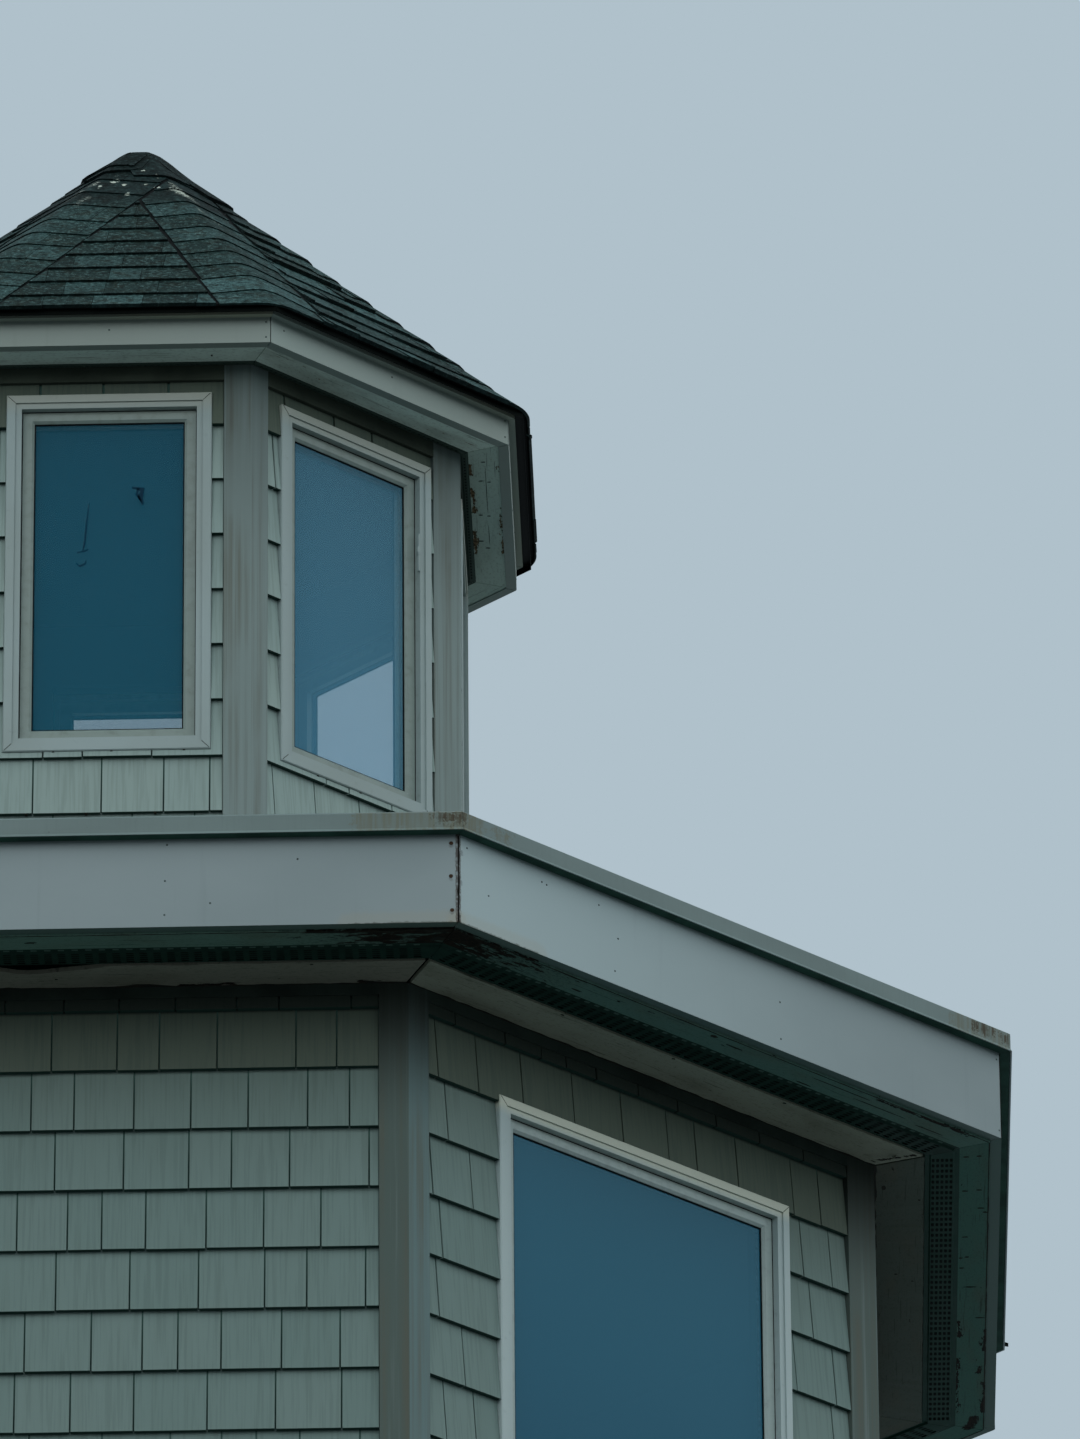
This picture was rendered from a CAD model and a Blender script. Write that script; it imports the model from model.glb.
import random
from math import cos, floor, pi, radians, sin, sqrt, tan

import bmesh
import bpy
from mathutils import Matrix, Vector


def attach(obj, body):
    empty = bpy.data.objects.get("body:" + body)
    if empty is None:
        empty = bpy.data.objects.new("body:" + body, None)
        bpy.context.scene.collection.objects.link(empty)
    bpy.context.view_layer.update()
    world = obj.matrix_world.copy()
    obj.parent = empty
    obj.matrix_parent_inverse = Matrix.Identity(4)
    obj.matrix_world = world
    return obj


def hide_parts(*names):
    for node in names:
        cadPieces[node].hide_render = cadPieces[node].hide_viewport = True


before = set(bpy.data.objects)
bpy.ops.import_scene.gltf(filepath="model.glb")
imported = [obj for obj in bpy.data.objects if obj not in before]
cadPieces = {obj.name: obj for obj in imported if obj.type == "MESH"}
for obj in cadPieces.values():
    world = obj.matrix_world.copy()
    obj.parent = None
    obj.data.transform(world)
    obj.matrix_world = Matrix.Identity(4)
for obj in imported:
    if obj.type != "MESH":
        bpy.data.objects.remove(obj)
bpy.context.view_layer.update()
print("turret: frame loaded,", len(cadPieces), "CAD pieces")

# plan of the turret, in metres: radii are distances from the axis to a side's face
plan = {
    "sides": 8,
    "names": ["front", "frontRight", "right", "backRight", "back", "backLeft", "left", "frontLeft"],
    "bodyWall": 2.152,
    "lanternWall": 0.982,
    "board": 0.019,
    "leftBoards": (0.076, 0.063),         # the body's and the lantern's
    "rightBoards": (0.081, 0.107),        # of a square side and of a slanting one
    "bodyFoot": 0.300,
    "bodyFriezeBottom": 5.676,
    "bodySoffit": 5.709,
    "bodyEave": 5.714,
    "ventInner": 2.315,
    "ventOuter": 2.413,
    "fasciaBack": 2.499,
    "bodyFascia": 2.530,
    "fasciaBottom": 5.720,
    "fasciaTop": 6.032,
    "edgeMetal": 2.562,
    "lanternFlashingTop": 6.4528,
    "lanternFriezeBottom": 8.2118,
    "lanternSoffit": 8.2448,
    "lanternVentOuter": 1.025,
    "lanternFascia": 1.146,
    "upperWindow": (1.116, 1.500, 3.980),     # width, height, lower edge
    "groundWindow": (1.116, 1.500, 1.280),
    "lanternWindow": (0.596, 1.152, 7.0048),
}
slope = tan(pi / plan["sides"])      # half a side's length for each metre of its distance from the axis


def atSide(side, out, along, height):
    turn = radians(-90 + 45 * side)
    return Vector((cos(turn) * out - sin(turn) * along, sin(turn) * out + cos(turn) * along, height))


def isSquare(side):
    return side % 2 == 0


def millimetres(*values):
    return [value / 1000 for value in values]


def rectangle(left, right, low, high):
    return [(left, low), (right, low), (right, high), (left, high)]


# points of a side, each given as its distance from the axis, its place along the side and its height
def ring(side, spots):
    return [atSide(side, *spot) for spot in spots]


class Shape:
    def __init__(self):
        self.points, self.faces, self.tones, self.ages = [], [], [], []

    def face(self, corners, tone=0.5, age=0.0):
        start = len(self.points)
        self.points += [tuple(corner) for corner in corners]
        self.faces.append(list(range(start, start + len(corners))))
        self.tones.append(tone)
        self.ages.append(age)

    # loops with matching corners, joined in turn into a closed length
    def rail(self, loops, tone=0.5, age=0.0):
        self.face(loops[0], tone, age)
        self.face(loops[-1][::-1], tone, age)
        for near, far in zip(loops[:-1], loops[1:]):
            for step in range(len(near)):
                after = (step + 1) % len(near)
                self.face([near[step], far[step], far[after], near[after]], tone, age)

    def block(self, near, far, tone=0.5, age=0.0):
        self.rail([near, far], tone, age)

    # a slab on a side's face between two radii: its corners are places along the side and heights
    def slab(self, side, near, far, corners, tone=0.5, age=0.0):
        self.block(*[ring(side, [(out, *corner) for corner in corners]) for out in (near, far)], tone, age)

    # a plate under an eave between two levels: its corners are distances out and places along the side
    def plate(self, side, low, high, corners, tone=0.5):
        self.block(*[ring(side, [(*corner, level) for corner in corners]) for level in (low, high)], tone)

    def place(self, name, finish, slot, replaces=(), smooth=False):
        mesh = bpy.data.meshes.new(name)
        mesh.from_pydata(self.points, [], self.faces)
        for label, values in (("tone", self.tones), ("age", self.ages)):
            mesh.attributes.new(label, "FLOAT", "FACE").data.foreach_set("value", values)
        work = bmesh.new()
        work.from_mesh(mesh)
        bmesh.ops.remove_doubles(work, verts=work.verts, dist=0.000002)
        bmesh.ops.recalc_face_normals(work, faces=work.faces)
        work.to_mesh(mesh)
        work.free()
        if smooth:
            mesh.polygons.foreach_set("use_smooth", [True] * len(mesh.polygons))
            mesh.set_sharp_from_angle(angle=radians(28))
        mesh.materials.append(finishes[finish])
        piece = bpy.data.objects.new(name, mesh)
        bpy.context.scene.collection.objects.link(piece)
        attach(piece, "root")
        if replaces:
            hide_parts(*replaces)
        return piece


# a colour as a paint chart writes it, 0 to 255
def tint(*channels):
    return tuple(v / 3294.6 if v <= 10 else ((v / 255 + 0.055) / 1.055) ** 2.4 for v in channels) + (1,)


# a link or a fixed value; a colour of three numbers is a paint chart's
def plug(socket, value):
    if isinstance(value, Wire):
        value.socket.id_data.links.new(value.socket, socket)
    else:
        socket.default_value = tint(*value) if socket.type == "RGBA" and len(value) == 3 else value


class Wire:
    def __init__(self, socket):
        self.socket = socket

    def worked(self, operation, *values):
        node = self.socket.id_data.nodes.new("ShaderNodeMath")
        node.operation = operation
        for socket, value in zip(node.inputs, values):
            plug(socket, value)
        return Wire(node.outputs[0])

    def joined(self, operation, *others):
        return self.worked(operation, self, *others)

    def other(self, output):
        return Wire(self.socket.node.outputs[output])

    def __add__(self, other):
        return self.joined("ADD", other)

    def __sub__(self, other):
        return self.joined("SUBTRACT", other)

    def __rsub__(self, other):
        return self.worked("SUBTRACT", other, self)

    def __mul__(self, other):
        return self.joined("MULTIPLY", other)

    def __truediv__(self, other):
        return self.joined("DIVIDE", other)

    def __or__(self, other):
        return self.joined("MAXIMUM", other)

    __radd__ = __add__
    __rmul__ = __mul__
    __ror__ = __or__


class NodeTree:
    def __init__(self, tree):
        self.tree = tree

    # any node: its type, its settings, then the values or links of its sockets
    def node(self, kind, settings=None, values=None, output=0):
        made = self.tree.nodes.new("ShaderNode" + kind)
        for key, value in (settings or {}).items():
            if key == "stops":
                while len(made.color_ramp.elements) < len(value):
                    made.color_ramp.elements.new(0.5)
                for element, (place, colour) in zip(made.color_ramp.elements, value):
                    element.position, element.color = place, tint(*colour)
            else:
                setattr(made, key, value)
        for key, value in (values or {}).items():
            plug(made.inputs[key], value)
        return Wire(made.outputs[output]) if made.outputs else made

    def mix(self, factor, first, second):
        return self.node("Mix", {"data_type": "RGBA"}, {0: factor, 6: first, 7: second}, 2)

    # 0 at low, 1 at high, smooth between; low may be the larger
    def rise(self, value, low, high):
        values = {"Value": value, "From Min": low, "From Max": high}
        return self.node("MapRange", {"interpolation_type": "SMOOTHSTEP"}, values)

    # 1 for rays that show a thing, 0 for those that only light others
    def shown(self):
        rays = self.node("LightPath", output="Is Camera Ray")
        return rays | rays.other("Is Glossy Ray") | rays.other("Is Transmission Ray")


finishes = {}
# measures that part the lantern from the body: heights, and distances from the axis
parting = {"lanternPart": (6.2, 6.3), "bodyPart": (6.3, 6.2), "bodyRadius": (1.9, 2.0)}


class Finish(NodeTree):
    def __init__(self, name, look, **constants):
        self.material, self.look = bpy.data.materials.new(name), look
        self.material.use_nodes = True
        finishes[name] = self.material
        super().__init__(self.material.node_tree)
        self.shader = self.tree.nodes["Principled BSDF"]
        for socket, value in constants.items():
            self.shader.inputs[socket.replace("_", " ")].default_value = value
        self.where = self.start = self.node("TexCoord", output="Object")

    def vector(self, operation, first, second, output=0):
        return self.node("VectorMath", {"operation": operation}, {0: first, 1: second}, output)

    # scales are patches to a metre, one number or one for each direction
    def noise(self, scales, detail=3, roughness=0.5, start=None):
        scales = scales if isinstance(scales, tuple) else (scales,) * 3
        spread = self.vector("MULTIPLY", start or self.start, scales)
        values = {"Vector": spread, "Scale": 1, "Detail": detail, "Roughness": roughness}
        return self.node("TexNoise", None, values)

    def attribute(self, label):
        return self.node("Attribute", {"attribute_name": label}, None, "Fac")

    # 1 on the line between two points, 0 beyond its reach; shift makes its edge ragged
    def line(self, start, end, reach, shift=0.0):
        run = Vector(end) - Vector(start)
        offset = self.vector("SUBTRACT", self.where, tuple(start))
        share = self.vector("DOT_PRODUCT", offset, tuple(run / max(run.length_squared, 1e-9)), "Value")
        share = share.joined("MAXIMUM", 0.0).joined("MINIMUM", 1.0)
        onLine = self.node("VectorMath", {"operation": "SCALE"}, {0: tuple(run), "Scale": share})
        return self.rise(self.vector("DISTANCE", offset, onLine, "Value") + shift, reach, reach * 0.55)

    # one more coat over the colour so far; a colour may be named in the look
    def coat(self, factor, colour):
        colour = self.look[colour] if isinstance(colour, str) else colour
        self.colour = self.mix(factor, self.colour, colour)

    def bumped(self, height, strength, distance):
        values = {"Strength": strength, "Distance": distance, "Height": height}
        plug(self.shader.inputs["Normal"], self.node("Bump", None, values))

    def done(self, roughness):
        plug(self.shader.inputs["Base Color"], self.colour)
        plug(self.shader.inputs["Roughness"], roughness)
        return self.material


# a finish that knows where a point is on its side: along it, out from the axis, up, and which side
class SideFinish(Finish):
    def __init__(self, name, look, **constants):
        super().__init__(name, look, **constants)
        x = self.node("SeparateXYZ", None, {0: self.where}, 0)
        y, self.height = x.other(1), x.other(2)
        turn = y.joined("ARCTAN2", x)
        self.side = (turn / (pi / 4) + 0.5).joined("FLOOR")
        swing = turn - self.side * (pi / 4)
        reach = (x * x + y * y).joined("SQRT")
        self.along, self.out = reach * swing.joined("SINE"), reach * swing.joined("COSINE")
        # sides lie 7.3 m apart in their patterns, so that none repeats another
        flat = {0: self.along + self.side * 7.3, 1: self.out, 2: self.height}
        self.start = self.node("CombineXYZ", None, flat)

    # masks by height and by distance from the axis, between two measures of the look or of parting
    def up(self, key):
        return self.rise(self.height, *{**parting, **self.look}[key])

    def outward(self, key):
        return self.rise(self.out, *{**parting, **self.look}[key])

    # how far a face looks up, -1 to 1
    def facing(self):
        return self.node("SeparateXYZ", None, {0: self.node("NewGeometry", output="True Normal")}, 2)

    def frontSide(self):
        return self.rise((self.side + 2).joined("ABSOLUTE"), 0.6, 0.4)

    # the right side and the one behind it
    def farSides(self):
        return self.rise(self.side, -0.6, -0.4) * self.rise(self.side, 1.5, 1.4)


sidingLook = {
    "body": ((99, 121, 118), (106, 126, 123)),
    "lantern": ((124, 145, 143), (131, 150, 146)),
    "aged": (75, 86, 77),
    "grain": (54, 68, 64),
    "butt": (34, 56, 50),
    "short": (16, 24, 21),
    "underEave": (5.05, 5.62),            # heights between which the shingles darken
    "underLanternEave": (7.9, 8.3),
    "shortRow": (5.630, 5.642),
}


# painted wall shingles: streaks that run down, upright grain, a browner row under each eave
def sidingFinish(name):
    finish = SideFinish(name + "Siding", sidingLook, Roughness=0.75, Specular_IOR_Level=0.12)
    tone, age = finish.attribute("tone"), finish.attribute("age")
    cloud = finish.noise((1.6, 1.6, 1.1), 4)
    grain = finish.noise((120, 30, 3), 3, 0.55)
    streaks = finish.noise((40, 30, 1.6), 4)
    onBody = finish.outward("bodyRadius")
    finish.colour = finish.mix(tone * 0.6 + cloud * 0.4, *sidingLook[name])
    finish.coat(finish.rise(age + cloud * 0.2, 0.1, 1.0), "aged")
    finish.coat(finish.up("underEave") * onBody * 0.5 | finish.up("underLanternEave") * 0.4, "aged")
    finish.coat(finish.rise(streaks, 0.46, 0.72) * (0.10 + age * 0.12), "aged")
    finish.coat(finish.rise(grain, 0.47, 0.63) * (0.16 + age * 0.12), "grain")
    finish.coat(finish.up("shortRow") * onBody * 0.75, "short")
    finish.coat(finish.rise(finish.facing(), -0.4, -0.8), "butt")
    finish.bumped(grain * 0.6 + streaks * 0.4, 0.3, 0.0015)
    finish.done(0.68 + cloud * 0.14)


boardLook = {
    "right": (75, 90, 86),
    "left": (90, 113, 114),
    "lantern": (112, 129, 128),
    "stain": (84, 85, 74),
    "pale": (122, 136, 136),
    "brown": (30, 35, 29),
    "middle": (-0.05, 0.05),
    "underEave": (5.25, 5.68),
    "underLanternEave": (7.5, 8.3),
}


# corner boards: streaks of brown that run down from the eave
def cornerBoardFinish():
    finish = SideFinish("cornerBoardPaint", boardLook, Roughness=0.6, Specular_IOR_Level=0.15)
    runs = finish.noise((46, 46, 0.7), 4, 0.6)
    patches = finish.noise((5, 5, 1.7), 4)
    onRight = finish.rise(finish.along, *boardLook["middle"])
    finish.colour = finish.mix(onRight, boardLook["left"], boardLook["right"])
    finish.coat(finish.up("lanternPart"), "lantern")
    finish.coat(finish.rise(runs, 0.42, 0.66) * finish.rise(patches, 0.36, 0.6) * 0.6, "stain")
    finish.coat(finish.rise(runs, 0.45, 0.28) * 0.3, "pale")
    under = finish.up("underEave") * finish.outward("bodyRadius") | finish.up("underLanternEave") * 0.5
    finish.coat(under * (0.70 + runs * 0.4), "brown")
    finish.bumped(runs * 0.5 + patches * 0.5, 0.25, 0.002)
    finish.done(0.52 + patches * 0.2)


trimLook = {
    "fascia": (132, 147, 150),
    "moulding": (176, 180, 160),
    "worn": (124, 139, 142),
    "pale": (164, 186, 190),
    "grime": (50, 50, 40),
    "rust": (52, 38, 28),
    "under": (66, 92, 84),
    "warm": (132, 143, 130),
    "stain": (150, 138, 104),
    "far": (56, 88, 80),
    "lanternTrim": (6.2, 6.4),
    # in millimetres: side and place of the dirty joint, then side, place and height of screws and rust
    "joints": [(0, 1044), (1, -1044)],
    "screws": [(0, 1028, 5957), (0, 1027, 5858), (0, 1030, 5756)],
    "rustSpots": [(1, -1036, 5935), (1, -1040, 5845)],
}


# the smooth fascias: rust round a joint and its screws, dirt along the lower edge near it
def fasciaFinish(name):
    finish = SideFinish(name + "Paint", trimLook, Roughness=0.5, Specular_IOR_Level=0.12)
    cloud = finish.noise((1.2, 4, 2.0), 4)
    fine = finish.noise(70, 4, 0.6)
    runs = finish.noise((30, 30, 1.5))
    finish.colour = finish.mix(finish.rise(cloud, 0.3, 0.7), trimLook[name], trimLook["worn"])
    # the slanting side right of the front is the palest, most next to the dirty joint
    slanting = finish.rise(finish.side + 1, -0.5, -0.4) * finish.rise(finish.side, -0.5, -0.6)
    finish.coat(slanting * finish.rise(finish.along, 0.9, -1.0) * 0.5, "pale")
    ragged = (fine - 0.5) * 0.02
    rust, face, bottom = 0.0, plan["bodyFascia"], plan["fasciaBottom"]
    for side, place in trimLook["joints"]:
        place = place / 1000
        foot, top, dirtEnd = ring(side, [(face, place, bottom), (face, place, 6.0),
                                         (face, place * 0.72, 5.718)])
        rust = finish.line(foot, top, 0.006, ragged * 0.7) | rust
        finish.coat(finish.line(foot, dirtEnd, 0.045, ragged) * 0.16, "stain")
        finish.coat(finish.line(foot, dirtEnd, 0.005, ragged * 0.8) * 0.55, "grime")
    for side, *spot in trimLook["screws"] + trimLook["rustSpots"]:
        spot = atSide(side, face, *millimetres(*spot))
        rust = finish.line(spot, spot - Vector((0, 0, 0.008)), 0.008, ragged) * 0.5 | rust
    finish.coat(rust * finish.rise(fine, 0.25, 0.6) * 0.8, "rust")
    facing = finish.facing()
    finish.coat(finish.rise(facing, -0.5, -0.9) * (0.8 - finish.up("lanternTrim") * 0.55), "under")
    finish.coat(finish.up("lanternTrim") * 0.5, "warm")
    finish.coat(finish.farSides() * finish.up("bodyPart") * finish.rise(facing, -0.3, -0.8) * 0.8, "far")
    finish.coat(finish.rise(runs, 0.6, 0.85) * 0.10, "grime")
    finish.bumped(fine * 0.3 + cloud * 0.7, 0.10, 0.002)
    finish.done(0.42 + cloud * 0.16)


frameLook = {
    "casing": (136, 154, 155),
    "sash": (120, 137, 132),
    "worn": (126, 141, 138),
    "body": (180, 200, 202),
    "head": (152, 156, 143),
    "bodyHead": (178, 187, 174),
    "grime": (58, 58, 48),
    "bodyHeads": (5.42, 5.46),            # heights of the casings' upper parts
    "lanternHeads": (8.08, 8.15),
    "bodyRecess": (2.1695, 2.160),        # from the casing's face in to where dirt gathers
    "lanternRecess": (0.9995, 0.990),
}


# casings and sashes: brown grime in the steps between them
def frameFinish(name):
    finish = SideFinish(name + "Paint", frameLook, Roughness=0.45, Specular_IOR_Level=0.35)
    cloud = finish.noise((2, 2, 1.2), 4)
    fine = finish.noise(34, 4, 0.6)
    finish.colour = finish.mix(finish.rise(cloud, 0.35, 0.7) * 0.7, frameLook[name], frameLook["worn"])
    finish.coat(finish.up("bodyPart") * 0.35, "body")
    finish.coat(finish.up("bodyHeads") * finish.up("bodyPart"), "bodyHead")
    finish.coat(finish.up("lanternHeads") * 0.6, "head")
    recess = (finish.outward("lanternRecess") * finish.up("lanternPart")
              | finish.outward("bodyRecess") * finish.outward("bodyRadius"))
    finish.coat(finish.rise(fine, 0.6, 0.75) * 0.12, "grime")
    finish.coat(recess * finish.rise(fine + cloud * 0.5, 0.70, 0.95) * 0.14, "grime")
    finish.bumped(fine, 0.10, 0.001)
    finish.done(0.38 + cloud * 0.2)


glassLook = {
    # the colours low and high in a pane, then the heights between which it changes
    "lantern": {"front": ((26, 115, 143), (30, 115, 143)), "other": ((86, 160, 194), (94, 162, 192)),
                "foot": 7.07, "head": 8.09, "alpha": 0.26},
    "body": {"front": ((2, 82, 108), (28, 98, 122)), "foot": 4.10, "head": 5.36, "alpha": 0.78},
    "ground": {"front": ((24, 82, 106), (44, 88, 108)), "foot": 1.40, "head": 2.66, "alpha": 0.78},
}


# tinted panes with a thin uneven film of dust
def glassFinish(name):
    look = glassLook[name]
    finish = SideFinish(name + "Glass", look, Roughness=0.04)
    film = finish.noise((2.2, 9, 1.4))
    share = finish.rise(finish.height + film * 0.15, look["foot"], look["head"])
    finish.colour = finish.mix(share, *look.get("other", look["front"]))
    finish.coat(finish.frontSide(), finish.mix(share, *look["front"]))
    plug(finish.shader.inputs["Alpha"], look["alpha"] + film * 0.02)
    finish.material.surface_render_method = "BLENDED"
    finish.done(0.03 + film * 0.04)


boardLevels = {"wall": "bodySoffit", "edge": "bodyEave", "lantern": "lanternSoffit"}
soffitLook = {
    "wall": (152, 158, 144),
    "edge": (92, 126, 117),
    "lantern": (202, 222, 213),
    "brown": (86, 84, 70),
    "bare": {"wall": ((4, 5, 4), (28, 22, 16)), "edge": ((8, 10, 8), (32, 27, 21)),
             "lantern": ((66, 58, 44), (118, 102, 78))},
    "dirt": (30, 36, 31),
    "front": {"wall": (130, 132, 121), "edge": (100, 132, 122), "lantern": (192, 212, 203)},
    "far": {"wall": (78, 88, 79), "edge": (66, 108, 98), "lantern": (172, 194, 185)},
    "rotten": (2.46, 1.02),               # where the edge boards peel most: out, and along the front side
}
# bare wood on the boards: side, first place and last place on it (along and out, in millimetres), reach
bareWood = {
    "edge": [
        (0, (640, 2494), (1020, 2492), 7), (0, (800, 2446), (880, 2450), 13),
        (0, (940, 2430), (1010, 2462), 16), (1, (-1000, 2478), (-930, 2466), 19),
        (1, (-905, 2452), (-880, 2446), 9), (1, (600, 2488), (980, 2492), 6),
        (2, (230, 2418), (330, 2420), 8), (2, (500, 2415), (900, 2417), 6),
        (2, (290, 2496), (440, 2492), 10), (2, (560, 2484), (600, 2478), 10),
        (2, (680, 2497), (900, 2493), 9), (2, (940, 2470), (1010, 2450), 22),
    ],
    "wall": [
        (0, (280, 2184), (420, 2182), 9), (0, (770, 2184), (820, 2186), 8),
        (1, (880, 2200), (930, 2300), 7),
    ],
    "lantern": [
        (2, (-340, 1028), (-280, 1028), 5), (2, (-190, 1030), (-40, 1032), 6),
        (2, (90, 1030), (230, 1032), 7), (2, (-60, 1112), (230, 1112), 4),
        (2, (-330, 1112), (-290, 1112), 4),
    ],
}


# soffit boards: brown at the edges, bare wood where the paint has gone
def soffitFinish(name):
    finish = SideFinish(name + "SoffitPaint", soffitLook, Roughness=0.7, Specular_IOR_Level=0.06)
    level = plan[boardLevels[name]]
    cloud = finish.noise((3, 9, 3), 4)
    fine = finish.noise((15, 70, 40), 5, 0.65)
    crumbs = finish.noise((80, 170, 60), 3, 0.6)
    cracks = finish.noise((5, 170, 20))
    ragged = (fine - 0.5) * 0.055 + (crumbs - 0.5) * 0.02
    rotten = 0.0
    if name == "edge":
        corner = tuple(atSide(0, *soffitLook["rotten"], level))
        rotten = finish.rise(finish.vector("DISTANCE", finish.where, corner, "Value"), 0.62, 0.03)
    bare = finish.rise(fine + cloud * 0.3 + crumbs * 0.1 + rotten * 0.30, 0.90, 0.94)
    for side, start, end, reach in bareWood[name]:
        ends = [atSide(side, out / 1000, along / 1000, level) for along, out in (start, end)]
        bare = finish.line(*ends, reach / 1000, ragged) | bare
    finish.colour = finish.mix(finish.frontSide(), soffitLook[name], soffitLook["front"][name])
    finish.coat(finish.farSides(), soffitLook["far"][name])
    finish.coat(finish.rise(cloud, 0.45, 0.75) * 0.45, "brown")
    finish.coat(finish.rise(cracks, 0.62, 0.70) * 0.5, "dirt")
    finish.coat(finish.rise(crumbs + rotten * 0.2, 0.5, 0.75) * 0.35 + rotten * 0.3, "dirt")
    finish.coat(bare, finish.mix(finish.rise(crumbs, 0.4, 0.62), *soffitLook["bare"][name]))
    finish.bumped(1 - bare, 0.5, 0.0015)
    finish.done(0.6 + bare * 0.2)


metalLook = {
    "edge": (102, 121, 120),
    "flashing": (96, 104, 104),
    "drip": (9, 14, 12),
    "rust": (58, 50, 38),
    "dirt": (94, 98, 82),
    # lengths of the roof's edge: side, first and last place along it, reach up and down
    "dirty": [(0, 0.80, 1.06, 0.050), (1, -1.06, -1.02, 0.05), (1, 0.86, 1.06, 0.045),
              (1, -0.93, -0.90, 0.02)],
    "rusty": [(0, 1.00, 1.06, 0.020), (1, 0.93, 0.98, 0.022), (1, 1.03, 1.06, 0.02)],
    "dirtyLevel": 6.012,
    "rustyLevel": 6.018,
}


# bent sheet metal: the roof's edge, flashings and drip edges
def sheetMetalFinish(name):
    gloss = 0.02 if name == "drip" else 0.3
    finish = SideFinish(name + "Metal", metalLook, Roughness=0.45, Specular_IOR_Level=gloss)
    cloud = finish.noise((2.5, 9, 9), 4)
    spots = finish.noise(55, 4, 0.6)
    streaks = finish.noise((120, 120, 6))
    dark = tuple(value * 0.8 for value in tint(*metalLook[name])[:3]) + (1,)
    finish.colour = finish.mix(finish.rise(cloud, 0.35, 0.7) * 0.5, metalLook[name], dark)
    finish.coat(finish.rise(streaks, 0.5, 0.75) * 0.25, dark)
    rust = finish.rise(spots + cloud * 0.5, 0.98, 1.04)
    if name == "edge":
        ragged = (spots - 0.5) * 0.09 + (finish.noise(160, 3, 0.6) - 0.5) * 0.05
        for kind in ("dirty", "rusty"):
            for side, start, end, reach in metalLook[kind]:
                level = metalLook[kind + "Level"]
                ends = ring(side, [(plan["edgeMetal"], place, level) for place in (start, end)])
                if kind == "dirty":
                    dirt = finish.line(*ends, reach, ragged * 1.5)
                    finish.coat(dirt * (0.25 + finish.rise(streaks, 0.35, 0.65) * 0.5), "dirt")
                else:
                    rust = finish.line(*ends, reach, ragged) | rust
    if name != "drip":
        finish.coat(rust * finish.rise(streaks + spots * 0.5, 0.55, 0.85) * 0.9, "rust")
    finish.bumped(spots * 0.4 + cloud, 0.2, 0.002)
    finish.done(0.4 + rust * 0.4)


roofLook = {
    "stops": [(0.0, (18, 34, 32)), (0.45, (29, 51, 49)), (1.0, (60, 91, 92))],
    "brown": (28, 36, 28),
    "granule": (4, 11, 11),
    "pale": (92, 124, 124),
    "white": (168, 180, 170),
    "top": (9.02, 9.16),                  # heights between which the roof's top darkens
    # white runs below the top: side, first and last place (along and up the slope), reach, strength; then
    # white specks on the front: place along and up the slope, width in millimetres
    "runs": [(1, (-0.118, 1.278), (-0.136, 1.215), 0.008, 0.7),
             (1, (-0.140, 1.205), (-0.132, 1.148), 0.026, 1.0),
             (1, (-0.128, 1.130), (-0.128, 1.100), 0.008, 0.6),
             (1, (-0.174, 1.020), (-0.174, 0.965), 0.005, 0.5),
             (1, (-0.165, 0.920), (-0.158, 0.900), 0.005, 0.4),
             (0, (-0.105, 1.298), (-0.123, 1.262), 0.011, 0.6),
             (7, (0.127, 1.218), (0.122, 1.182), 0.010, 0.55),
             (7, (0.120, 1.180), (0.089, 1.174), 0.008, 0.5),
             (0, (-0.123, 1.134), (-0.152, 1.062), 0.010, 0.35)],
    "specks": [(-0.049, 1.370, 9), (-0.057, 1.294, 10), (-0.094, 1.246, 11), (-0.021, 1.262, 7),
               (0.068, 1.334, 10), (0.080, 1.230, 10), (0.041, 1.266, 12), (-0.005, 1.162, 6),
               (-0.040, 1.310, 7), (0.030, 1.400, 7)],
}


# asphalt shingles: granules, tabs of several tones, white specks and runs at the top
def roofFinish():
    finish = Finish("roofShingle", roofLook, Roughness=0.8, Specular_IOR_Level=0.06)
    granules = finish.noise(64, 4, 0.9)
    cloud = finish.noise(7, 4)
    patches = finish.noise(26, 4, 0.6)
    specks = finish.noise(75, 3, 0.6)
    height = finish.node("SeparateXYZ", None, {0: finish.where}, 2)
    shade = finish.attribute("tone") + (cloud - 0.5) * 0.5
    finish.colour = finish.node("ValToRGB", {"stops": roofLook["stops"]}, {0: shade})
    finish.coat(finish.rise(patches, 0.49, 0.62) * 0.62, "brown")
    finish.coat(finish.rise(granules, 0.50, 0.60) * 0.8, "granule")
    finish.coat(finish.rise(granules, 0.46, 0.36) * 0.6, "pale")
    finish.coat(finish.rise(height, *roofLook["top"]) * (0.35 + patches * 0.6), "granule")
    ragged = (specks - 0.5) * 0.13 + (patches - 0.5) * 0.03
    white = 0.0
    for side, start, end, reach, strength in roofLook["runs"]:
        run = finish.line(roofPoint(side, *start, 0.003), roofPoint(side, *end, 0.003), reach, ragged)
        white = run * strength | white
    white = white * finish.rise(patches, 0.34, 0.48) * finish.rise(specks, 0.36, 0.50)
    for x, s, reach in roofLook["specks"]:
        foot, head = (roofPoint(0, x, s + step, 0.009 if s > 1.33 else 0.003) for step in (-0.007, 0.007))
        white = finish.line(foot, head, reach / 2000, ragged * 0.35) | white
    finish.coat(white * 0.9, "white")
    finish.coat(finish.attribute("age"), "granule")
    finish.bumped(granules, 0.35, 0.002)
    finish.done(0.7 + granules * 0.1)


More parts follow.
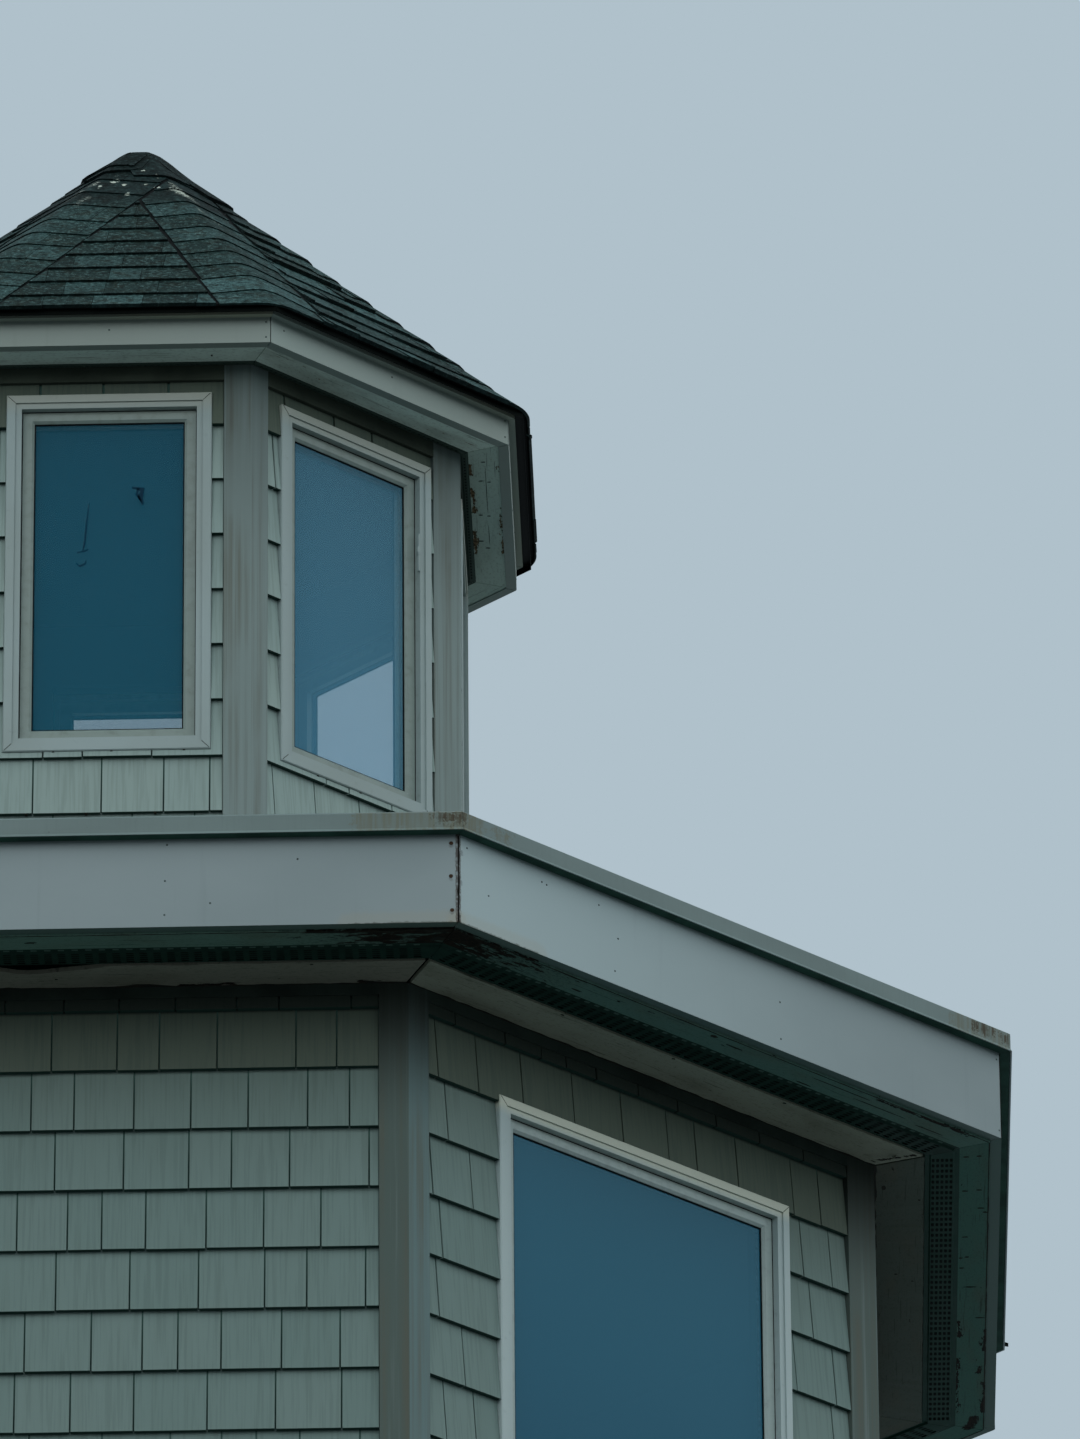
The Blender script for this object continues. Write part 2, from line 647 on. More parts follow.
# plainer surfaces: their two colours, and how many patches to a metre
plainLook = {
    "friezePaint": ((46, 56, 51), (32, 40, 36), 6),
    "lanternFriezePaint": ((58, 66, 58), (46, 53, 46), 6),
    "darkHollow": ((17, 30, 26), (21, 35, 31), 9),
    "roofFelt": ((5, 8, 8), (8, 12, 11), 12),
    "nailerPaint": ((50, 82, 72), (38, 62, 55), 12),
    "membrane": ((124, 130, 131), (112, 118, 118), 2.5),
    "concrete": ((142, 142, 136), (116, 118, 114), 2.2),
    "floorTimber": ((122, 104, 82), (96, 80, 62), 3.0),
    "gasketRubber": ((10, 13, 14), (18, 22, 24), 30),
    "darkGrime": ((22, 26, 23), (36, 34, 27), 40),
    "rustySteel": ((74, 58, 44), (48, 36, 28), 60),
    "paintedNail": ((70, 84, 84), (52, 62, 62), 60),
    "glassSmudge": ((16, 52, 70), (14, 44, 62), 30),
    "oldCaulk": ((20, 19, 15), (8, 9, 8), 50),
}


def plainFinish(name):
    base, other, scale = plainLook[name]
    finish = Finish(name, plainLook, Roughness=0.8, Specular_IOR_Level=0.08)
    cloud, fine = finish.noise(scale, 4), finish.noise(scale * 14, 4, 0.6)
    finish.colour = finish.mix(finish.rise(cloud, 0.35, 0.68), base, other)
    finish.coat(finish.rise(fine, 0.55, 0.8) * 0.35, other)
    finish.bumped(fine * 0.6 + cloud * 0.4, 0.2, 0.003)
    finish.done(0.7 + fine * 0.15)


ventLook = {
    "metal": ((34, 57, 50), (27, 47, 41)),
    "far": (34, 64, 56),
    "lantern": (64, 76, 70),
    "rib": (74, 98, 90),
    "lanternVents": (6, 7),
}


# the vent sheets: pale ribs where tone is high
def ventFinish():
    finish = SideFinish("ventMetal", ventLook, Roughness=0.6, Specular_IOR_Level=0.03)
    dust = finish.noise(14, 4, 0.6, finish.where)
    finish.colour = finish.mix(finish.rise(dust, 0.35, 0.7), *ventLook["metal"])
    finish.coat(finish.farSides() * 0.85, "far")
    finish.coat(finish.up("lanternVents") * 0.6, "lantern")
    finish.coat(finish.rise(finish.attribute("tone"), 0.7, 0.9), "rib")
    finish.bumped(dust, 0.2, 0.001)
    finish.done(0.45 + dust * 0.2)


wallLook = {
    "paper": (66, 94, 88),
    "plaster": ((52, 68, 72), (46, 60, 64)),
    "bodyInside": (2.150, 2.148),         # just behind the outer faces
    "lanternInside": (0.980, 0.978),
    "belowLantern": (6.25, 6.2),
}


# dark sheathing paper outside, plaster inside
def wallFinish():
    finish = SideFinish("sheathingAndPlaster", wallLook, Roughness=0.9, Specular_IOR_Level=0.1)
    cloud = finish.noise(2, 4)
    inside = finish.outward("bodyInside") * finish.up("belowLantern") | finish.outward("lanternInside")
    plaster = finish.mix(finish.rise(cloud, 0.3, 0.7), *wallLook["plaster"])
    finish.colour = finish.mix(inside, wallLook["paper"], plaster)
    finish.bumped(cloud, 0.1, 0.003)
    finish.done(0.85 + cloud * 0.1)


# the steep roof in metres: x runs along a facet from its middle, s up its slope from the eave
roofing = {
    "eave": 1.196,
    "base": 8.3428,
    "rise": 1.1183,
    "apex": 0.062,
    "shift": 0.025,
    "hip": 0.150,
    "hipTop": 0.024,
    "overhang": 0.013,
    "lap": 0.014,
    "gap": 0.0014,
    "cutGap": 0.0062,
    "hipLift": (0.0048, 0.0008),
    "liftedHip": (0.0040, 0.0100),
    "middleLift": (0.0088, 0.0010),
    "seed": 5,
}
roofLength = sqrt((roofing["eave"] - roofing["apex"]) ** 2 + roofing["rise"] ** 2)
hipCorner = roofing["eave"] * slope
hipLean = (roofing["eave"] - roofing["apex"]) * slope / roofLength
hipUp = 1 / sqrt(1 + hipLean ** 2)
hipSide = hipLean * hipUp


# a point of the roof; its hips are rounded, and beyond the slope's end it lies on the blunt top
def roofPoint(side, x, s, lift=0.0):
    share = min(s / roofLength, 1.0)
    inward = max(0.0, 1.0 - max(0.0, s - roofLength) / 0.06)
    reach = roofing["eave"] - (roofing["eave"] - roofing["apex"]) * share
    radius = roofing["hip"] - (roofing["hip"] - roofing["hipTop"]) * share
    straight = (reach - radius) * slope
    along = x * (straight + radius * pi / 8) / (reach * slope)
    turn, out, across = 0.0, reach, along
    if abs(along) > straight:
        hand = 1 if along > 0 else -1
        turn = (abs(along) - straight) / radius * hand
        out = reach - radius + radius * cos(turn)
        across = straight * hand + radius * sin(turn)
    bearing = radians(-90 + 45 * side) + turn
    upward = Vector((cos(bearing) * inward, sin(bearing) * inward, 1.0)).normalized()
    place = atSide(side, out * inward, across * inward, roofing["base"] + roofing["rise"] * share)
    return place + Vector((roofing["shift"] * share, 0, 0)) + upward * lift


for finishOf, names in ((sidingFinish, ("body", "lantern")), (fasciaFinish, ("fascia", "moulding")),
                        (frameFinish, ("casing", "sash")), (glassFinish, glassLook),
                        (soffitFinish, boardLevels), (sheetMetalFinish, ("edge", "flashing", "drip")),
                        (plainFinish, plainLook)):
    for name in names:
        finishOf(name)
for finishOf in (cornerBoardFinish, ventFinish, wallFinish, roofFinish):
    finishOf()
print("turret: finishes made")

cadFinishes = {
    "concrete": ["plinth"],
    "floorTimber": ["ground_floor", "upper_floor"],
    "sheathingAndPlaster": ["front_wall", "front_right_wall", "right_wall", "back_right_wall", "back_wall",
                            "back_left_wall", "left_wall", "front_left_wall", "lantern_knee_walls",
                            "lantern_piers", "lantern_headers"],
    "casingPaint": ["ground_window_casings", "upper_window_casings", "lantern_window_casings"],
    "sashPaint": ["ground_window_sashes", "upper_window_sashes", "lantern_window_sashes"],
    "groundGlass": ["ground_window_panes"],
    "bodyGlass": ["upper_window_panes"],
    "lanternGlass": ["lantern_window_panes"],
    "cornerBoardPaint": ["body_corner_boards_right", "body_corner_boards_left",
                         "lantern_corner_boards_right", "lantern_corner_boards_left"],
    "friezePaint": ["body_frieze_boards"],
    "lanternFriezePaint": ["lantern_frieze_boards"],
    "wallSoffitPaint": ["body_soffit_boards"],
    "edgeSoffitPaint": ["body_soffit_edge_boards"],
    "lanternSoffitPaint": ["lantern_soffit_boards"],
    "fasciaPaint": ["body_fascia_boards", "lantern_fascia_boards"],
    "mouldingPaint": ["lantern_eave_mouldings"],
    "edgeMetal": ["roof_edge_metal"],
    "roofFelt": ["lantern_roof"],
    "nailerPaint": ["roof_edge_nailers"],
    "flashingMetal": ["lantern_flashing_upstand", "lantern_flashing_apron"],
    "dripMetal": ["lantern_drip_edges"],
    "membrane": ["low_roof_panels"],
    "ventMetal": ["body_soffit_vents", "lantern_soffit_vents"],
}
for finishName, pieceNames in cadFinishes.items():
    for pieceName in pieceNames:
        slots = cadPieces[pieceName].data.materials
        slots.clear()
        slots.append(finishes[finishName])
print("turret: CAD pieces painted")

shingling = {
    "exposure": 0.178,
    "buttOut": 0.0182,
    "topOut": 0.002,
    "lap": 0.006,
    "gap": 0.0046,
    "wideGap": 1.7,                       # how much wider it is in the lantern's top row
    "widths": (0.085, 0.225),
    "first": (0.03, 0.2),                 # how far in the first joint may lie
    "apart": 0.028,                       # the least step between joints of two courses
    "scrap": 0.002,                       # smaller pieces are left out
    "shortRow": 0.04,                     # rows that start within a course and this of the top are aged
    "uneven": (0.0012, 0.001),            # up or down, in or out
    "lifted": (0.29, 0.005),              # lantern pieces beyond this place lift by up to this
    "seed": 11,
}
# joints between shingles, in millimetres from a side's middle: (side, course): places
bodyJoints = {
    (0, 30): [-203, -42, 109, 263, 430, 546, 743],
    (0, 29): [-75, 104, 219, 377, 592, 703],
    (0, 28): [-129, -12, 151, 306, 462, 624, 738],
    (0, 27): [-63, 124, 301, 417, 575, 791],
    (0, 26): [-164, -27, 66, 185, 349, 505, 660],
    (0, 25): [-57, 143, 329, 508, 622, 781],
    (0, 24): [-140, 40, 178, 274, 391, 554, 712],
    (0, 23): [-166, -15, 156, 354, 538, 716],
    (0, 22): [-125, 71, 255, 393, 486, 603, 765],
    (1, 30): [-721, -532, -395, -300, -185, -24, 129, 278, 447, 620],
    (1, 29): [-787, -635, -465, -269, -82, 94, 204, 364, 580, 687],
    (1, 28): [-750, 613, 726],
    (1, 27): [-808, -658, 647],
    (1, 26): [-772, 579, 734],
    (1, 25): [-786, 725],
    (1, 24): [-691, 668],
    (1, 23): [-761, -649, 622],
}
lanternJoints = {
    (0, 9): [-197, -26, 172],
    (0, 8): [309],
    (0, 2): [-214, -58, 96, 258],
    (1, 9): [-191, -22, 173],
    (1, 2): [-240, -86, 70, 215],
}


def pairs(values):
    return zip(values[:-1], values[1:])


# what is left of an area (left, right, low, high) beside the first hole that it meets
def besideHoles(area, holes):
    left, right, low, high = area
    scrap = shingling["scrap"]
    for holeLeft, holeRight, holeLow, holeHigh in holes:
        if left < holeRight and right > holeLeft and low < holeHigh and high > holeLow:
            inLeft, inRight = max(left, holeLeft), min(right, holeRight)
            parts = [(left, holeLeft, low, high), (holeRight, right, low, high),
                     (inLeft, inRight, low, holeLow), (inLeft, inRight, holeHigh, high)]
            return [part for part in parts if part[1] - part[0] > scrap and part[3] - part[2] > scrap]
    return [area]


# joints for a course that keep clear of those in the course below
def freshJoints(left, right, before, dice):
    nearest, farthest = shingling["first"]
    joints, place = [], left + dice.uniform(nearest, farthest)
    while place < right - nearest:
        if all(abs(place - other) > shingling["apart"] for other in before):
            joints.append(place)
            place += dice.uniform(*shingling["widths"])
        else:
            place += 0.02
    return joints


def windowHole(window, margin):
    width, height, sill = window
    return (-width / 2 - margin, width / 2 + margin, sill - margin, sill + height + margin)


def shingleWall(shape, side, wall, edges, levels, holes, shown):
    dice = random.Random(shingling["seed"] + side * 17 + int(wall * 100))
    onLantern = wall < 1
    left, right = edges
    bottom, top = levels
    exposure, thin = shingling["exposure"], shingling["buttOut"] - shingling["topOut"]
    upDown, inOut = shingling["uneven"]
    before = []
    course = int(floor((bottom - plan["bodyFoot"]) / exposure + 0.5)) if onLantern else 0
    foot = plan["lanternFlashingTop"] - course * exposure if onLantern else bottom
    while foot + course * exposure < top - 0.004:
        low, high = max(foot + course * exposure, bottom), min(foot + (course + 1) * exposure, top)
        joints = millimetres(*shown.get((side, course), ())) or freshJoints(left, right, before, dice)
        aged = 1.0 if top - low < exposure + shingling["shortRow"] else 0.0
        for start, end in zip([left] + joints, joints + [right]):
            tone, drop, proud = dice.random(), dice.uniform(-upDown, upDown), dice.uniform(-inOut, inOut)
            gap = shingling["gap"] / 2 * (shingling["wideGap"] if onLantern and aged else 1.0)
            area = (start + (gap if start > left else 0), end - (gap if end < right else 0),
                    low + (drop if low > bottom else 0), min(high + shingling["lap"], top))
            for piece in besideHoles(area, holes):
                # the narrow pieces right of a lantern window have lifted at their outer ends
                place, most = shingling["lifted"]
                bent = dice.uniform(0.0, most) if onLantern and side == 1 and piece[0] > place else 0.0
                corners, near = rectangle(*piece), []
                for (along, z), more in zip(corners, (0.0, bent, bent, 0.0)):
                    out = wall + proud + more + shingling["buttOut"] - thin * (z - low) / exposure
                    near.append(atSide(side, out, along, z))
                shape.block(near, ring(side, [(wall - 0.001, *corner) for corner in corners]), tone, aged)
        before = joints
        course += 1


# the places between which shingles lie, inside the two corner boards
def betweenBoards(side, part):
    arris = (plan[part + "Wall"] + plan["board"]) * slope
    leftBoard, rightBoard = plan["leftBoards"][part == "lantern"], plan["rightBoards"][not isSquare(side)]
    return (leftBoard + 0.001 - arris, arris - 0.002 - rightBoard)


lanternShape = Shape()
for side in range(plan["sides"]):
    windows = [] if isSquare(side) else [plan["groundWindow"], plan["upperWindow"]]
    holes = [windowHole(window, 0.001) for window in windows]
    wallShape = Shape()
    shingleWall(wallShape, side, plan["bodyWall"], betweenBoards(side, "body"),
                (plan["bodyFoot"], plan["bodyFriezeBottom"] - 0.001), holes, bodyJoints)
    wallShape.place("wallShingles_" + plan["names"][side], "bodySiding", "siding")
    shingleWall(lanternShape, side, plan["lanternWall"], betweenBoards(side, "lantern"),
                (plan["lanternFlashingTop"] - 0.0008, plan["lanternFriezeBottom"] - 0.001),
                [windowHole(plan["lanternWindow"], 0.001)], lanternJoints)
lanternShape.place("lanternShingles", "lanternSiding", "siding")
print("turret: wall shingles laid")

# perforated strips under the eaves: radii and levels of the bent sheet, slots in rows
venting = {
    "body": {"inner": plan["ventInner"], "outer": plan["ventOuter"], "flange": 0.013, "bevel": 0.004,
             "level": plan["bodyEave"], "drop": 0.006, "rows": 5, "pitch": 0.0372, "slot": (0.0215, 0.0080)},
    "lantern": {"inner": 1.001, "outer": plan["lanternVentOuter"], "flange": 0.004, "bevel": 0.002,
                "level": plan["lanternSoffit"], "drop": 0.003, "rows": 1, "pitch": 0.019,
                "slot": (0.009, 0.005)},
    "joint": 0.001,
    "metal": 0.3,                         # the tone of the sheet; ribs have 1
    "rib": (0.017, 0.008),
    "ribProud": (0.0006, 0.0002),
    "plainSide": 2,                       # it has no ribs
    "shadow": (0.001, 0.011),             # the dark plate above the slots
}


def ventStrip(name, replaces):
    look = venting[name]
    shape, dark = Shape(), Shape()
    level, low = look["level"], look["level"] - look["drop"]
    flangeIn, flangeOut = look["inner"] + look["flange"], look["outer"] - look["flange"]
    fieldIn, fieldOut = flangeIn + look["bevel"], flangeOut - look["bevel"]
    deep, pitch = (fieldOut - fieldIn) / look["rows"], look["pitch"]
    profiles = [[(look["inner"], level), (flangeIn, level), (fieldIn, low)],
                [(fieldOut, low), (flangeOut, level), (look["outer"], level)]]
    halfLong, halfWide = look["slot"][0] / 2, look["slot"][1] / 2
    nip = halfWide * 0.5
    rim = [(halfLong, nip - halfWide), (halfLong, halfWide - nip), (halfLong - nip, halfWide),
           (nip - halfLong, halfWide), (-halfLong, halfWide - nip), (-halfLong, nip - halfWide),
           (nip - halfLong, -halfWide), (halfLong - nip, -halfWide)]
    corners = [(pitch / 2, -deep / 2), (pitch / 2, deep / 2), (-pitch / 2, deep / 2), (-pitch / 2, -deep / 2)]

    def end(out):
        return out * slope - venting["joint"]

    def sheet(side, spots):
        shape.face(ring(side, spots), venting["metal"])

    for side in range(plan["sides"]):
        for profile in profiles:
            for (out0, z0), (out1, z1) in pairs(profile):
                sheet(side, [(out0, -end(out0), z0), (out0, end(out0), z0), (out1, end(out1), z1),
                             (out1, -end(out1), z1)])
        count = int(2 * (end(fieldIn) - 0.008) / pitch)
        half = count * pitch / 2
        middles = [-half + (column + 0.5) * pitch for column in range(count)]
        for row in range(look["rows"]):
            out = fieldIn + (row + 0.5) * deep
            for middle in middles:
                holes = [(out + across, middle + along, low) for along, across in rim]
                edges = [(out + across, middle + along, low) for along, across in corners]
                for corner in range(4):
                    after = (corner + 1) % 4
                    sheet(side, [edges[corner], edges[after], holes[corner * 2 + 1], holes[corner * 2]])
                    sheet(side, [edges[after], holes[(corner * 2 + 2) % 8], holes[corner * 2 + 1]])
        for hand in (-1, 1):
            sheet(side, [(fieldIn, hand * half, low), (fieldIn, hand * end(fieldIn), low),
                         (fieldOut, hand * end(fieldOut), low), (fieldOut, hand * half, low)])
        if name == "body" and side != venting["plainSide"]:
            # pressed ribs on the outer bevel, one to a slot
            long, wide = venting["rib"]
            for middle in middles:
                spots = [(flangeOut + 0.001 + across, middle + along)
                         for along, across in rectangle(-long / 2, long / 2, 0, wide)]
                shape.plate(side, *[level - proud for proud in venting["ribProud"]], spots, 1.0)
        ends = [(out, hand * (out * slope - 0.002)) for out, hand in
                ((fieldIn, -1), (fieldIn, 1), (fieldOut, 1), (fieldOut, -1))]
        dark.plate(side, *[level + above for above in venting["shadow"]], ends)
    shape.place(name + "VentStrips", "ventMetal", "vent_metal", replaces)
    dark.place(name + "VentShadow", "darkHollow", "vent_metal")


ventStrip("body", ["body_soffit_vents"])
ventStrip("lantern", ["lantern_soffit_vents"])
print("turret: vent strips made")

# the beige boards by the wall, with worn edges and open joints
soffitBoards = {
    "thickness": 0.012,
    "inner": 2.153,
    "outer": 2.3145,
    "step": 0.03,
    "joint": 0.001,
    "ragged": 0.0022,
    "droop": 0.0012,
    "gaps": {0: 0.0075, 1: 0.005},        # open mitres, by the corner at a side's right end
    # outer edge of the front board where it has rotted back: place along, radius, in millimetres
    "worn": [(-420, 2313), (-330, 2306), (-210, 2292), (-181, 2270), (-110, 2267), (-28, 2283), (41, 2296),
             (94, 2312), (146, 2315), (165, 2310), (195, 2315), (265, 2306), (317, 2309), (356, 2315),
             (437, 2312), (497, 2310), (558, 2315), (669, 2311), (800, 2315)],
    "seed": 41,
}


def between(stations, place):
    for (x0, y0), (x1, y1) in pairs(stations):
        if x0 <= place <= x1:
            return y0 + (y1 - y0) * (place - x0) / (x1 - x0)
    return None


def makeSoffitBoards():
    look = soffitBoards
    shape, dice = Shape(), random.Random(look["seed"])
    low, high = plan["bodySoffit"], plan["bodySoffit"] + look["thickness"]
    for side in range(plan["sides"]):
        ends = [look["gaps"].get(corner % 8, look["joint"]) for corner in (side - 1, side)]
        count = int(2 * look["outer"] * slope / look["step"])
        loops = []
        for station in range(count + 1):
            share = station / count * 2 - 1
            outer = look["outer"] - dice.uniform(0.0, look["ragged"])
            worn = between(look["worn"], share * outer * slope * 1000) if side == 0 else None
            outer = min(outer, worn / 1000 + dice.uniform(-0.001, 0.001)) if worn else outer
            droop = dice.uniform(0.0, look["droop"])
            loop = []
            for out, z in ((look["inner"], low), (outer, low - droop), (outer, high), (look["inner"], high)):
                along = share * (out * slope - look["joint"])
                along = max(ends[0] - out * slope, min(out * slope - ends[1], along))
                loop.append(atSide(side, out, along, z))
            loops.append(loop)
        shape.rail(loops, dice.random())
    shape.place("soffitBoards", "wallSoffitPaint", "soffit_paint", ["body_soffit_boards"])


makeSoffitBoards()

# cracks, holes and splits under the boards: side, place along and out, length along, width out (millimetres)
darkMarks = {
    "edge": [
        (0, 700, 2490, 180, 8), (0, 850, 2492, 150, 12), (0, 985, 2490, 80, 15), (0, 990, 2440, 50, 30),
        (0, -118, 2455, 36, 8), (1, -850, 2442, 30, 9), (1, -817, 2450, 18, 8), (1, -580, 2494, 140, 5),
        (1, -520, 2440, 40, 7), (1, -386, 2466, 14, 7), (1, -33, 2480, 26, 14), (1, 60, 2466, 66, 6),
        (1, 369, 2424, 60, 6), (1, 480, 2470, 260, 4), (1, 640, 2450, 220, 4), (1, 850, 2440, 120, 5),
        (2, -937, 2431, 9, 18), (2, -942, 2468, 9, 18), (2, -702, 2430, 9, 20), (2, -708, 2470, 9, 18),
        (2, -582, 2476, 9, 22), (2, -553, 2488, 9, 14), (2, -380, 2432, 9, 18), (2, -231, 2421, 8, 14),
        (2, -238, 2439, 9, 14), (2, -160, 2424, 9, 16), (2, -23, 2449, 9, 36), (2, 200, 2478, 8, 30),
        (3, -700, 2450, 9, 18), (5, 420, 2440, 40, 8), (6, -300, 2470, 120, 5), (7, 500, 2450, 60, 7),
    ],
    "wall": [
        (1, -918, 2304, 14, 9), (1, -446, 2306, 14, 9), (1, -20, 2306, 14, 9), (1, 415, 2303, 12, 9),
        (2, -744, 2200, 34, 14), (2, -136, 2235, 10, 12), (2, -84, 2282, 9, 9), (2, -656, 2300, 10, 8),
        (2, 490, 2277, 16, 12), (0, -60, 2230, 10, 8), (0, 640, 2300, 10, 8), (5, 200, 2250, 12, 9),
    ],
    "lantern": [
        (2, -239, 1058, 8, 15), (2, -231, 1082, 6, 12), (2, -18, 1052, 6, 15), (2, -11, 1076, 6, 12),
        (2, 152, 1048, 8, 18), (2, 198, 1067, 7, 16), (2, -180, 1073, 380, 2), (2, 120, 1073, 150, 2),
        (2, -360, 1068, 7, 16), (4, 60, 1060, 7, 16), (6, -150, 1080, 7, 14), (0, 300, 1062, 7, 12),
    ],
}
# how far marks and seams stand out below a board and reach into it, and how ragged they are
grime = {"proud": 0.0006, "sunk": 0.0003, "seamSunk": 0.0002, "seamStep": 0.035, "ragged": (0.72, 1.1),
         "seed": 77}


def markUnder(shape, side, along, out, level, long, wide, dice):
    rim = []
    for step in range(12):
        turn, ragged = step * pi / 6, dice.uniform(*grime["ragged"])
        rim.append((out + sin(turn) * wide / 2 * ragged, along + cos(turn) * long / 2 * ragged))
    shape.plate(side, level - grime["proud"], level + grime["sunk"], rim)


markShape, markDice = Shape(), random.Random(grime["seed"])
for board, marks in darkMarks.items():
    for side, *numbers in marks:
        along, out, long, wide = millimetres(*numbers)
        markUnder(markShape, side, along, out, plan[boardLevels[board]], long, wide, markDice)


# dark ragged lines where boards meet; dips are side, place, reach and how much wider the line is there
def seam(shape, radius, level, widths, dips, dice):
    for side in range(plan["sides"]):
        half = radius * slope - 0.003
        count = int(2 * half / grime["seamStep"])
        loops = []
        for station in range(count + 1):
            along = -half + 2 * half * station / count
            wide = dice.uniform(*widths)
            for dipSide, place, reach, more in dips:
                if side == dipSide and abs(along - place) < reach:
                    wide += more * (1 - abs(along - place) / reach)
            section = rectangle(radius, radius + wide, level - grime["proud"], level + grime["seamSunk"])
            loops.append(ring(side, [(out, along, z) for out, z in section]))
        shape.rail(loops)


# along the frieze, then beside the fascia
seam(markShape, 2.171, plan["bodySoffit"], (0.003, 0.009),
     [(0, 0.178, 0.07, 0.016), (0, 0.803, 0.035, 0.013), (0, -0.20, 0.10, 0.004)], markDice)
seam(markShape, 2.4945, plan["bodyEave"], (0.002, 0.0045), [], markDice)
markShape.place("boardCracks", "darkGrime", "soffit_paint")

# a sliver of board that curls down from the open joint at a corner
sliver = {"side": 1, "out": 2.262, "along": 0.898, "inward": 0.055, "back": 0.075, "hang": 0.004,
          "curl": 0.020, "wide": 0.007, "thick": 0.0015, "steps": 8, "seed": 3}


def curledSliver():
    shape, loops, count = Shape(), [], sliver["steps"]
    for step in range(count + 1):
        share = step / count
        along, out = sliver["along"] - sliver["back"] * share, sliver["out"] - sliver["inward"] * share
        fall = sliver["hang"] + sliver["curl"] * sin(share * pi) * (1 - share * 0.3)
        wide = sliver["wide"] * (1 - share * 0.6)
        loops.append(ring(sliver["side"], [(out + a, along, plan["bodySoffit"] - fall + b)
                                           for a, b in rectangle(-wide, wide, 0.0, sliver["thick"])]))
    loops[0] = [corner + Vector((0, 0, 0.005)) for corner in loops[0]]      # its root is inside the joint
    shape.rail(loops, random.Random(sliver["seed"]).random())
    shape.place("curledSliver", "wallSoffitPaint", "soffit_paint")


curledSliver()
print("turret: eave boards worn")

# nails in the fascias: side, place along, level (millimetres)
fastening = {
    "body": [
        (0, 256, 5966), (0, 611, 5917), (0, 251, 5858), (0, 374, 5789), (0, 250, 5756), (0, -420, 5862),
        (0, -610, 5768), (1, -735, 5941), (1, -717, 5938), (1, -936, 5834), (1, -519, 5941), (1, -447, 5862),
        (1, -460, 5760), (1, -1016, 5952), (1, 177, 5867), (1, 178, 5755), (1, 1036, 5960), (1, 1040, 5742),
    ],
    "lantern": [(0, 6, 8290), (0, 461, 8258), (0, 461, 8307), (1, -423, 8296), (1, 6, 8298), (1, 461, 8316),
                (1, 461, 8262)],
    "levels": {"body": (5.758, 5.862, 5.962), "lantern": (8.262, 8.300)},      # on the sides out of view
    "reach": {"body": 1.0, "lantern": 0.44},
    "uneven": (0.02, 0.006),
    "nailRadius": 0.0034,
    "screwRadius": 0.0062,
    "seed": 8,
}


def head(shape, side, out, along, height, radius):
    rims, turns = [], [step * pi / 4 for step in range(8)]
    for reach, proud in ((radius * 0.6, radius * 0.3), (radius, -0.0003)):
        spots = [(out + proud, along + cos(turn) * reach, height + sin(turn) * reach) for turn in turns]
        rims.append(ring(side, spots))
    shape.block(*rims)


nailShape, screwShape, nailDice = Shape(), Shape(), random.Random(fastening["seed"])
for board in ("body", "lantern"):
    out, (shift, rise) = plan[board + "Fascia"], fastening["uneven"]
    for side, *spot in fastening[board]:
        head(nailShape, side, out, *millimetres(*spot), fastening["nailRadius"])
    for side in range(2, 8):
        for step in range(-2, 3):
            for level in fastening["levels"][board][step % 2::2]:
                along = step * fastening["reach"][board] / 2.05 + nailDice.uniform(-shift, shift)
                height = level + nailDice.uniform(-rise, rise)
                head(nailShape, side, out, along, height, fastening["nailRadius"])
for side, *spot in trimLook["screws"]:
    head(screwShape, side, plan["bodyFascia"], *millimetres(*spot), fastening["screwRadius"])
nailShape.place("fasciaNails", "paintedNail", "pale_trim")
screwShape.place("fasciaScrews", "rustySteel", "pale_trim")

# old caulk that stands out of the fascia's joints, thick at the front right corner
caulking = {"foot": 5.7215, "top": 5.978, "steps": 14, "proud": 0.0012, "sunk": 0.001, "slant": 0.0006,
            "wide": (0.0010, 0.0018), "widest": (0.0018, 0.0046), "seed": 19}


def caulkJoints():
    shape, dice = Shape(), random.Random(caulking["seed"])
    outer, inner = plan["bodyFascia"] + caulking["proud"], plan["bodyFascia"] - caulking["sunk"]
    arris, foot, count = outer * slope, caulking["foot"], caulking["steps"]
    for corner in range(plan["sides"]):
        wide = caulking["widest"] if corner == 0 else caulking["wide"]
        for hand, side in ((1, corner), (-1, (corner + 1) % 8)):
            loops = []
            for step in range(count + 1):
                height = foot + step * (caulking["top"] - foot) / count
                edge = arris - dice.uniform(*wide)
                section = [(inner, edge), (outer, edge + caulking["slant"]), (outer, arris), (inner, arris)]
                loops.append(ring(side, [(out, hand * along, height) for out, along in section]))
            shape.rail(loops)
    shape.place("fasciaCaulk", "oldCaulk", "pale_trim")


caulkJoints()

# a bent corner of the roof's metal edge that sticks out beyond the right side
tab = {"side": 2, "along": 1.052, "level": 6.0, "long": 0.016, "fall": 0.004, "wide": 0.008, "under": 0.006,
       "above": 0.002, "root": 0.001}


def bentTab():
    shape, loops = Shape(), []
    for share in (0.0, 0.5, 1.0):
        out, z = plan["edgeMetal"] - tab["root"] + tab["long"] * share, tab["level"] - tab["fall"] * share
        wide = tab["wide"] * (1 - 0.4 * share)
        loops.append(ring(tab["side"], [(out, tab["along"] + a, z + b)
                                        for a, b in rectangle(-wide, wide, -tab["under"], tab["above"])]))
    shape.rail(loops)
    shape.place("bentMetalTab", "dripMetal", "roof_metal")


bentTab()
print("turret: fastenings and caulk set")

